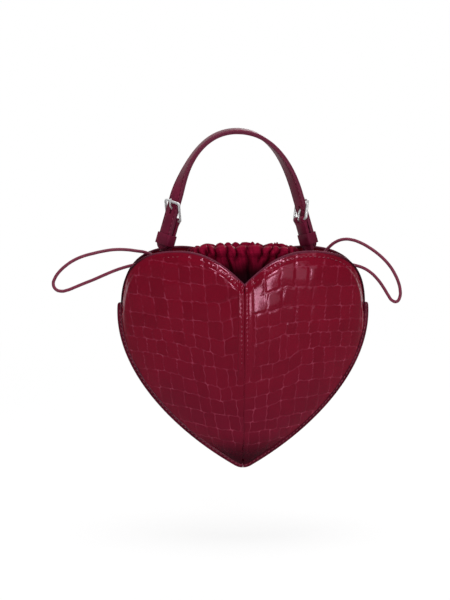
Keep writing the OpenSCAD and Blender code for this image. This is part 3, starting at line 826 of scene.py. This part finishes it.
def at_length(rows, run, at):
    """What rows of three give at a length, or at many lengths, along their line"""
    return np.stack([np.interp(at, run, rows[:, k]) for k in range(3)], -1)


def evenly(line, gap):
    """The same line with a place every gap millimetres"""
    run = length_along(line)
    return at_length(line, run, np.linspace(0, run[-1], max(round(run[-1] / gap), 1) + 1))


# %% [markdown]
# ## Stitches
#
# One stitch is a short, flattened grain of thread, modelled once from a sphere and copied along
# each row at the machine's pitch. Each lies a little askew, with its ends sunk in the leather.

# %% Stitch rows
one_stitch = added(bpy.ops.mesh.primitive_uv_sphere_add, segments=8, ring_count=5, radius=1)
stitch_shape = read_places(one_stitch) * MM * (1.42, 0.34, 0.3)
stitch_shape[:, 2] -= 0.09 * stitch_shape[:, 0] ** 2
stitch_faces = [tuple(p.vertices) for p in one_stitch.data.polygons]
bpy.data.objects.remove(one_stitch)
STITCH_SINK = 0.02


def stitch_row(name, body, slot, lines, askew=8):
    """lines is a list of (places, outward directions); one piece holds all their stitches"""
    corners, faces = [], []
    for line, out in lines:
        run = length_along(line)
        for at in np.arange(PITCH / 2, run[-1] - PITCH / 4, PITCH):
            face = unit(at_length(out, run, at))
            along = unit(at_length(line, run, at + 0.5) - at_length(line, run, at - 0.5))
            side = unit(np.cross(face, along))
            turn = math.radians(askew)
            along, side = along * math.cos(turn) + side * math.sin(turn), \
                side * math.cos(turn) - along * math.sin(turn)
            first = len(corners) * len(stitch_shape)
            corners.append(at_length(line, run, at) - STITCH_SINK * face
                + stitch_shape @ np.stack([along, side, face]))
            faces += [tuple(first + k for k in corner) for corner in stitch_faces]
    mesh = bpy.data.meshes.new(name)
    mesh.from_pydata([tuple(c * MM) for c in np.concatenate(corners)], [], faces)
    piece = linked(name, mesh)
    smooth(piece, 60)
    print(name, "stitches", len(corners))
    finish_piece(hung(piece) if body == "bag" else piece, body, slot, waxed_thread)


def locate(flat):
    """u and v of flat places (x, z) on the front's right half"""
    uu, vv = np.meshgrid(np.linspace(0, 1, 161), np.linspace(0, 1, 221))
    uu, vv = uu.ravel(), vv.ravel()
    known = spot(uu, vv)
    near = np.array([((known - f) ** 2).sum(1).argmin() for f in flat])
    u, v = uu[near].copy(), vv[near].copy()
    for _ in range(4):
        e = 1e-4
        here = spot(u, v)
        du, dv = (spot(u + e, v) - here) / e, (spot(u, v + e) - here) / e
        miss = flat - here
        det = du[:, 0] * dv[:, 1] - du[:, 1] * dv[:, 0]
        det = np.where(np.abs(det) < 1e-6, 1e-6, det)
        u = np.clip(u + (miss[:, 0] * dv[:, 1] - miss[:, 1] * dv[:, 0]) / det, 0, 1)
        v = np.clip(v + (du[:, 0] * miss[:, 1] - du[:, 1] * miss[:, 0]) / det, 0, 1)
    return u, v


seam_rows_v = np.linspace(0.022, 0.435, 60)
seam_u = SEAM_STITCH / np.array([np.linalg.norm(face_place(np.array([0.1]), np.array([v]))
    - face_place(np.array([0.0]), np.array([v]))) * 10 for v in seam_rows_v])
edge_way = np.gradient(top_edge(edge_u), axis=0)
edge_in = unit(np.stack([edge_way[:, 1], -edge_way[:, 0]], 1))
edge_row_flat = (top_edge(edge_u) + edge_in * EDGE_STITCH)[6:-10]
edge_row_u, edge_row_v = locate(edge_row_flat)
SEAM_LIFT, EDGE_LIFT = 0.42, -0.4
for name, turn in quarters:
    rows = []
    for u, v, lift in ((seam_u, seam_rows_v, SEAM_LIFT), (edge_row_u, edge_row_v, EDGE_LIFT)):
        out = face_normal(u, v)
        rows.append(((face_place(u, v) + out * lift) * turn, out * turn))
    stitch_row(name + "_panel_stitches", "bag", "plain_leather", rows, askew=8 * turn[0])

# %% [markdown]
# ## Painted edges and the binding
#
# The free top edge is cut, rounded and painted, so it reads as a thin plum cord along each
# lobe. Below the steps a narrow strip is folded round both halves' edges and stitched through.

# %% Painted top edges
def circle(count):
    turn = np.linspace(0, 2 * math.pi, count, endpoint=False)
    return np.stack([np.cos(turn), np.sin(turn)], 1)


BEAD_HALF = (1.02, 0.95)
paint_line = face_place(np.linspace(0, 0.985, 140), np.zeros(140), leather_t / 2 + 0.6)
paint_line[:, 2] -= 0.15
paint_line[0, 0] = ply_gap / 2
for name, turn in quarters:
    piece = sweep(name + "_painted_edge", paint_line * turn, (0, 1, 0), circle(12) * BEAD_HALF)
    smooth(piece, 60)
    finish_piece(hung(piece), "bag", "plain_leather", edge_paint)

# %% Edge binding
binding_half = seam_half + 0.4
BINDING_IN, BINDING_HALF_W = 2.95, 2.45
fold = np.sign(circle(28)) * np.abs(circle(28)) ** 0.72


def binding_line(inset):
    flat = rim(np.linspace(0, 0.965, 150), inset)
    way = unit(flat[-1] - flat[-2])
    end = np.array([ply_gap / 2, tip_z + inset])
    reach = np.linalg.norm(end - flat[-1]) * 0.42
    corner = bez([flat[-1], flat[-1] + way * reach, end + (reach, 0), end],
        np.linspace(0, 1, 14)[1:])
    flat = np.concatenate([flat, corner])
    return np.stack([flat[:, 0], np.zeros(len(flat)), flat[:, 1]], 1)


def binding_piece(hand, side):
    line = evenly(binding_line(BINDING_IN), 1.6)
    start = unit(line[0] - line[1])
    line = np.concatenate([line[:1] + start * np.array([[3.2], [3.0], [2.5], [1.4]]), line])
    size = np.ones(len(line))
    size[:4] = (0.22, 0.48, 0.78, 0.95)
    run = length_along(line)
    ruck = 1 + 0.035 * np.cos(2 * math.pi * run / PITCH)
    section = fold * np.stack([BINDING_HALF_W * size, binding_half * (0.5 + 0.5 * size) * ruck],
        1)[:, None]
    piece = sweep(hand + "_binding", line * (side, 1, 1), (0, 1, 0), section)
    smooth(piece, 50)
    finish_piece(hung(piece), "bag", "binding_leather", binding_leather, hand + "_edge_binding")
    rows = []
    for face in (-1, 1):
        row = evenly(binding_line(BINDING_IN)[2:-2] * (side, 1, 1), 1.5) \
            + (0, face * (binding_half - 0.02), 0)
        rows.append((row, np.tile([0.0, face, 0], (len(row), 1))))
    stitch_row(hand + "_binding_stitches", "bag", "binding_leather", rows, askew=8)


binding_piece("left", -1)
binding_piece("right", 1)

# %% [markdown]
# ## Inside: board, lining and gussets
#
# The halves keep their shape because a moulded board is glued behind them, and satin covers it.
# The lining is a sheet stretched over the board. The boards, the seam tapes and the cord's runs
# hardly show, so the frame's own solids only need a finish.

# %% Lining sheets
def lining_sheet(word, face):
    piece, across, v = flat_grid(word + "_lining_sheet", 72, 60)
    side = across * 2 - 1
    u, v = np.abs(side) * 10 / 11, 1 / 15 + v * 12 / 15
    puff = 0.1 * np.sin(across * 90) * np.sin(v * 14)
    places = face_place(u, v, 2.85 + puff) * np.stack([np.where(side < 0, -1, 1),
        np.full(len(u), -face), np.ones(len(u))], 1)
    write_places(piece, places)
    if face > 0:
        edit(piece, bpy.ops.mesh.flip_normals)
    apply(piece, "SOLIDIFY", thickness=0.55 * MM, offset=-1)
    keep_values(piece, crest=np.full(len(piece.data.vertices), 0.8))
    smooth(piece, 60)
    finish_piece(hung(piece), "bag", "satin", lining_satin, word + "_lining")


lining_sheet("front", -1)
lining_sheet("back", 1)

dress(fibre_board, "front_board", "back_board")
dress(plain_leather, "front_seam_tape", "back_seam_tape")
dress(round_cord, "left_cord_run", "right_cord_run")

# %% [markdown]
# ## Pieces cut from the frame's own solids
#
# Small stiff pieces have the right shape already and only lack the softness of cut leather. A
# copy of the solid is merged, its flat faces are joined, and its edges get a small bevel.

# %% Softened copies
def softened(node, name, body, slot, material, width, segments=2):
    deselect()
    piece = nodes[node].copy()
    piece.data = nodes[node].data.copy()
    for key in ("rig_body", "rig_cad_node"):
        if key in piece:
            del piece[key]
    piece.parent = None
    piece.name = name
    piece.hide_render = piece.hide_viewport = False
    bpy.context.scene.collection.objects.link(piece)
    edit(piece, lambda: bpy.ops.mesh.remove_doubles(threshold=2e-5),
        lambda: bpy.ops.mesh.dissolve_limited(angle_limit=math.radians(1)), outwards)
    apply(piece, "BEVEL", width=width * MM, segments=segments, limit_method="ANGLE",
        angle_limit=math.radians(35), harden_normals=False)
    smooth(piece, 40)
    finish_piece(piece, body, slot, material, node)


for hand in ("left", "right"):
    softened(hand + "_tab", hand + "_strap_tab", "handle", "strap_leather", strap_leather, 0.4)
    softened(hand + "_tab_anchor", hand + "_cradle", "bag", "plain_leather", plain_leather, 0.3)
    softened(hand + "_side_gusset", hand + "_gusset", "bag", "plain_leather", plain_leather, 0.3)

# %% [markdown]
# ## The strap
#
# The handle is two plies of smooth leather, stitched near both edges. It stands as an arch
# between two legs and turns about its own length on the way, so its left leg shows its face and
# its right leg its underside. Each ply is one section swept along it.

# %% Strap line
handle_in = {"left": (-1, 45.0), "right": (1, 33.0)}
leg_x, leg_lean, pivot_z = 63.0, math.radians(16), top_z - 4.5
strap_t, tab_t = 3.6, 2.8
hinge_z, far_rise, bar_r = 31.2, 15.0, 1.1
strap_in = bar_r + 0.05 + tab_t / 2 + 0.3
far_y = strap_in + strap_t + 0.3 + bar_r
leg_top, tail_z = hinge_z + far_rise + 5, 4.0
crown_tilt = math.radians(9)
twist = {"left": 3, "right": 1}


def leg_matrix(hand):
    """A leg's own frame: X across the strap, -Y out of its face, Z up the leg"""
    side, yaw = handle_in[hand]
    turn = yaw - 90 if side < 0 else yaw + 90
    return (Matrix.Translation((side * leg_x, 0, pivot_z))
        @ Matrix.Rotation(-side * leg_lean, 4, "Y") @ Matrix.Rotation(math.radians(turn), 4, "Z"))


def on_leg(hand, places):
    m = np.array(leg_matrix(hand))
    return np.asarray(places, float) @ m[:3, :3].T + m[:3, 3]


def arch_ring(hand, t):
    side, yaw = handle_in[hand]
    yaw = math.radians(yaw)
    up = np.array([-side * math.sin(leg_lean), 0, math.cos(leg_lean)])
    out = np.array([side * math.cos(yaw) * math.cos(leg_lean), side * math.sin(yaw),
        math.cos(yaw) * math.sin(leg_lean)])
    head = np.array([side * leg_x, 0, pivot_z]) + leg_top * up + (strap_in + strap_t / 2) * out
    top = np.array([0, 0, strap_t / 2])
    curve = np.array([top, top + (side * 30, 0, 0), head + 28 * up, head])
    way = unit(bez_slope(curve, t)[0] * (1, 0, 1))
    late = ramp(0, 1, t ** twist[hand])
    turn = yaw * late - side * crown_tilt * (1 - late)
    plain = np.array([-side * way[2], 0, side * way[0]])
    face = plain * math.cos(turn) + np.array([0, side * math.sin(turn), 0])
    return bez(curve, t)[0], face, np.cross(side * way, face)


def leg_ring(hand, z):
    m = np.array(leg_matrix(hand))[:3, :3]
    across = m[:, 0] if hand == "left" else -m[:, 0]
    return on_leg(hand, (0, -(strap_in + strap_t / 2), z)), -m[:, 1], across


leg_steps = tail_z + np.concatenate([[0.12, 0.5, 1.1, 2.0, 3.1, 4.4, 5.6, 6.5],
    np.linspace(8, leg_top - tail_z, 24)])
arch_steps = np.linspace(0, 1, 60)
strap_rings = [leg_ring("left", z) for z in leg_steps] \
    + [arch_ring("left", t) for t in arch_steps[-2::-1]] \
    + [arch_ring("right", t) for t in arch_steps[1:]] \
    + [leg_ring("right", z) for z in leg_steps[-2::-1]]
strap_mid, strap_face, strap_across = (np.array(a) for a in zip(*strap_rings))
tail_share = np.ones(len(strap_mid))
tail_share[:8] = np.sqrt(np.clip(1 - (1 - (leg_steps[:8] - tail_z) / 6.5) ** 2, 0, 1))
tail_share[-8:] = tail_share[:8][::-1]
print("strap length", round(length_along(strap_mid)[-1]), "mm")

# %% Strap plies
STRAP_STITCH = 4.9
SLOT_SIZE, SLOT_ABOVE = (2.2, 30, 7.4), 7.7
# Each corner of the section: across, out, how far it is painted, how far it sinks at a stitch.
ply_half = np.array([(-6.5, 0.12, 1, 0), (-6.5, 1.1, 1, 0), (-6.36, 1.45, 1, 0),
    (-6.1, 1.68, 0.4, 0), (-5.7, 1.78, 0, 0), (-5.3, 1.74, 0, 0.3), (-4.9, 1.52, 0, 1),
    (-4.5, 1.76, 0, 0.3), (-4.1, 1.84, 0, 0), (-2, 1.9, 0, 0)])
ply_section = np.concatenate([ply_half, [(0, 1.92, 0, 0)], ply_half[::-1] * (-1, 1, 1, 1),
    [(6.35, 0, 1, 0), (-6.35, 0, 1, 0)]])


def strap_ply(name, node, out_sign):
    across = ply_section[:, :1] * tail_share[:, None, None]
    rings = strap_mid[:, None] + strap_across[:, None] * across \
        + strap_face[:, None] * (ply_section[:, 1:2] * out_sign)
    piece = rolled(name, rings)
    owner = np.array([((rings.reshape(-1, 3) - place) ** 2).sum(1).argmin()
        for place in read_places(piece)]) % len(ply_section)
    keep_values(piece, paint=ply_section[owner, 2], sunk=ply_section[owner, 3])
    for hand in ("left", "right"):
        cutter = added(bpy.ops.mesh.primitive_cube_add, size=MM)
        write_places(cutter, read_places(cutter) * SLOT_SIZE)
        apply(cutter, "BEVEL", width=1.05 * MM, segments=6, affect="EDGES",
            limit_method="ANGLE")
        write_places(cutter, on_leg(hand, read_places(cutter)
            + (0, -(strap_in + strap_t / 2), hinge_z + SLOT_ABOVE)))
        apply(piece, "BOOLEAN", operation="DIFFERENCE", object=cutter, solver="EXACT")
        bpy.data.objects.remove(cutter)
    smooth(piece, 40)
    finish_piece(piece, "handle", "strap_leather", strap_leather, node)


strap_ply("strap_outer_ply", "handle_outer", 1)
strap_ply("strap_lining_ply", "handle_lining", -1)
rows = []
for sign in (-1, 1):
    for edge in (-STRAP_STITCH, STRAP_STITCH):
        line = strap_mid + strap_across * edge + strap_face * sign * 1.5
        rows.append((line[7:-7], strap_face[7:-7] * sign))
stitch_row("strap_stitches", "handle", "strap_leather", rows, askew=6)

# %% [markdown]
# ## Keepers and buckles
#
# A keeper is a folded band of leather that holds the strap's tail. The buckle's frame is bent
# from round wire and is already exact, so it only gets its finish. The prong is a bent wire too,
# with a rolled eye.

# %% Keepers
for hand in ("left", "right"):
    softened(hand + "_keeper", hand + "_keeper_band", hand + "_loop", "strap_leather",
        strap_leather, 0.45, segments=3)

# %% Buckles
dress(silver, "left_buckle_frame", "right_buckle_frame")
prong_r = 0.8
prong_route = [(0.9, 1.6), (-1.6, 6.2), (-far_y - 1.1, 11.6),
    (-far_y - bar_r - prong_r - 0.05, far_rise - 0.6),
    (-far_y - bar_r - prong_r - 0.45, far_rise + 2.3)]


def prong_piece(hand):
    line = round_wire(hand + "_prong_wire", [(0, y, z + hinge_z) for y, z in prong_route],
        2 * prong_r, 5, 12)
    pick(line)
    bpy.ops.object.convert(target="MESH")
    eye = added(bpy.ops.mesh.primitive_torus_add, major_radius=1.6 * MM, minor_radius=0.42 * MM,
        major_segments=28, minor_segments=12, rotation=(0, math.pi / 2, 0))
    bpy.ops.object.transform_apply(rotation=True)
    write_places(eye, read_places(eye) * (2.6, 1, 1) + (0, 0, hinge_z))
    line.select_set(True)
    bpy.context.view_layer.objects.active = line
    bpy.ops.object.join()
    line.name = hand + "_prong"
    write_places(line, on_leg(hand, read_places(line)))
    smooth(line, 50)
    finish_piece(line, hand + "_prong", "silver_metal", silver, hand + "_buckle_prong")


prong_piece("left")
prong_piece("right")

# %% [markdown]
# ## The gathered collar
#
# A satin band, folded over at the top, is drawn together on its cords. Its fullness becomes
# uneven folds, narrow at the tunnel and joined in pairs below it. Each fold has its own width,
# lean and height, and the collar sinks a little towards its two ends.

# %% Collar folds
tunnel_a, tunnel_b = 43.0, 11.0
tunnel_floor, skirt_z = -105.7, top_z - 33
FOLDS = 26
chance = np.random.default_rng(8)
fold_wide = chance.uniform(0.55, 1.4, FOLDS)
fold_end = np.concatenate([[0], np.cumsum(fold_wide)]) / fold_wide.sum()
fold_lean = chance.uniform(-0.8, 0.8, FOLDS + 1)
fold_lean[-1] = fold_lean[0]
fold_tall = chance.uniform(-1, 1, FOLDS + 1)
fold_tall[-1] = fold_tall[0]
straight = 2 * (tunnel_a - tunnel_b)
straight_share = straight / (2 * straight + 2 * math.pi * tunnel_b)


def track(a, b, s):
    """A racetrack loop of half-length a and half-depth b"""
    s = s % 1
    far = s < 0.5
    t = np.where(far, s, s - 0.5)
    along = (a - b) * (2 * np.minimum(t / straight_share, 1) - 1)
    k = np.maximum(0, math.pi * (t - straight_share) / (0.5 - straight_share))
    sign = np.where(far, 1, -1)
    nx, ny = sign * np.sin(k), -sign * np.cos(k)
    return sign * along + b * nx, b * ny, nx, ny


skirt_v = (notch_z - skirt_z) / (notch_z - rim(1, binding_w)[0, 1])
skirt_out = dome(0.25, skirt_v) - 3.7 - 1.1 - tunnel_b
# The collar's section from its skirt up and over: height, how far it stands out from the
# tunnel at its sides and at its ends, and how deep its folds are.
collar_section = np.array([(skirt_z, skirt_out, skirt_out * 0.25, 0.5),
    (-126, skirt_out * 0.72, 3.4, 1.2), (-119, skirt_out * 0.42, 3.2, 1.9),
    (-112.5, 4.4, 3, 2.3), (-108, 2.6, 2.4, 2.1), (-105.5, 2.4, 2.4, 1.9), (-103, 3.6, 3.4, 2.4),
    (-100, 4.4, 4, 2.7), (-97, 4.2, 3.9, 2.6), (-94.6, 3, 2.8, 2.1), (-93.4, 0.6, 0.6, 1.4),
    (-93.6, -1.2, -1.2, 1.2), (-95.5, -2.4, -2.4, 1.4), (-99, -3.2, -3.2, 1.6),
    (-103, -3.2, -3.2, 1.5), (-107, -2.6, -2.6, 1.1)])


def collar_piece():
    around, down = FOLDS * 14, 84
    piece, s, t = flat_grid("satin_collar_gathers", around, down)
    column = np.rint(s * around).astype(int) % around
    s = column / around
    count = len(collar_section)
    z, side, end, deep = (np.interp(t * (count - 1), np.arange(count), column_of)
        for column_of in collar_section.T)
    lean = np.interp(s, fold_end, fold_lean)
    sway = lean * (z - tunnel_floor) / 13 / FOLDS + 0.1 / FOLDS * np.sin(z * 0.4 + s * 60)
    phase = np.interp((s + sway) % 1, fold_end, np.arange(FOLDS + 1))
    narrow = np.abs(np.sin(math.pi * phase)) ** 0.8
    wide = np.abs(np.sin(math.pi * phase / 2)) ** 0.9
    low = ramp(-104, -113, z)
    crest = narrow * (1 - 0.75 * low) + 0.75 * low * wide
    crest = crest + 0.07 * np.sin(2 * math.pi * (s * 53 + 0.05 * z))
    x, y, nx, ny = track(tunnel_a + end, tunnel_b + side, s)
    push = deep * (crest * 1.6 - 1.0)
    tall = np.interp(s, fold_end, fold_tall)
    z = z + ramp(-98, -93, z) * (2.0 * (narrow - 0.7) + 1.3 * tall)
    z = z - (2.2 + 2.6 * ramp(30, 47, np.abs(x))) * ramp(-106, -96, z)
    write_places(piece, np.stack([x + nx * push, y + ny * push, z], 1))
    # The crest value paints highlight and shade on the satin: light on the fold crests, dark
    # between them, darker towards the collar's ends, and much darker down into the notch as
    # painted shade.
    keep_values(piece, crest=(0.3 + 0.65 * np.clip(crest, 0, 1))
        * (1 - 0.45 * ramp(36, 46, np.abs(x))) * (1 - 0.9 * ramp(-101, -122, z)))
    edit(piece, lambda: bpy.ops.mesh.remove_doubles(threshold=1e-5), outwards)
    return piece


collar = collar_piece()
apply(collar, "SOLIDIFY", thickness=0.45 * MM, offset=0)
smooth(collar, 80)
finish_piece(hung(collar), "bag", "satin", collar_satin, "satin_collar")

# %% [markdown]
# ## Floor and light
#
# The photograph has plain white behind the bag, so the camera sees a white world, and a pale
# floor below the hanging tip melts into it with distance but keeps the soft shadow. Patent
# leather is a dark mirror: what it shows is the room. The room is dim in front and above and
# white behind. A small key stands near the camera and higher, a tall strip with a wide glow
# round it stands a little to the right, and two soft lamps fill from above and behind.

# %% Floor
floor = added(bpy.ops.mesh.primitive_plane_add, size=8, location=(0, 0, -0.36))
floor.name = "pale_floor"
look = Finish("pale_floor", Roughness=0.9)
shade = look.add("Emission", {"Color": (1, 1, 1, 1), "Strength": 1.0})
path = look.add("LightPath").outputs
away = look.add("VectorMath", {0: look.place()}, operation="LENGTH").outputs["Value"]
melt = look.math("MULTIPLY", path["Is Camera Ray"], look.curve(away, 0.15, 1.2, 0.72, 1.0))
melt = look.math("MULTIPLY_ADD", path["Is Glossy Ray"],
    look.curve(look.split(look.place())["Y"], 0.0, 0.5), melt)
look.put(look.shader, {"Base Color": look.mix(path["Is Glossy Ray"], picked(236, 236, 236),
    picked(86, 86, 88))})
mixed = look.add("MixShader", {0: melt, 1: look.shader.outputs[0], 2: shade.outputs[0]})
look.put(look.tree.nodes["Material Output"], {"Surface": mixed.outputs[0]})
floor.data.materials.append(look.material)

# %% World
world = bpy.data.worlds.new("studio")
bpy.context.scene.world = world
world.use_nodes = True
room = Network(world.node_tree)
path = room.add("LightPath").outputs
way = room.split(room.add("TexCoord").outputs["Generated"])
front_room = room.curve(way["Z"], 0.1, 0.45, room.curve(way["Z"], -0.6, 0.0, 0.12, 0.08), 0.02)
gloss_room = room.curve(way["Y"], 0.0, 0.5, front_room, 1.0)
soft_room = room.math("MULTIPLY", room.curve(way["Z"], -0.8, 0.9, 0.42, 0.78),
    room.curve(way["X"], -1, 1, 0.85, 1.2))
lit = room.blend(path["Is Glossy Ray"], soft_room, gloss_room)
seen = room.math("MAXIMUM", path["Is Camera Ray"], path["Is Transmission Ray"])
room.put(room.tree.nodes["Background"], {"Color": (1, 1, 1, 1),
    "Strength": room.blend(seen, lit, 1.0)})


# %% Lamps
def soft_light(name, azimuth, elevation, distance, size, power):
    """Azimuth in degrees from straight in front, to the right; all lamps face the bag"""
    around, rise = math.radians(azimuth), math.radians(elevation)
    middle = Vector((0, 0, -0.17))
    place = middle + distance * Vector((math.sin(around) * math.cos(rise),
        -math.cos(around) * math.cos(rise), math.sin(rise)))
    lamp = added(bpy.ops.object.light_add, type="AREA", location=place)
    lamp.name = name
    lamp.data.shape = "RECTANGLE"
    lamp.data.size, lamp.data.size_y = size
    lamp.data.energy = power
    lamp.rotation_euler = (middle - place).to_track_quat("-Z", "Y").to_euler()


soft_light("key", 6, 26, 1.8, (0.34, 0.24), 4)
soft_light("tall_strip", 14.5, -1, 1.8, (0.17, 0.65), 3.2)
soft_light("strip_glow", 17, 12, 1.8, (0.65, 1.0), 2.2)
soft_light("top", 0, 82, 1.3, (0.9, 0.6), 9)
soft_light("back", 160, 20, 1.4, (0.8, 0.6), 5)
bpy.context.scene.view_settings.view_transform = "Standard"
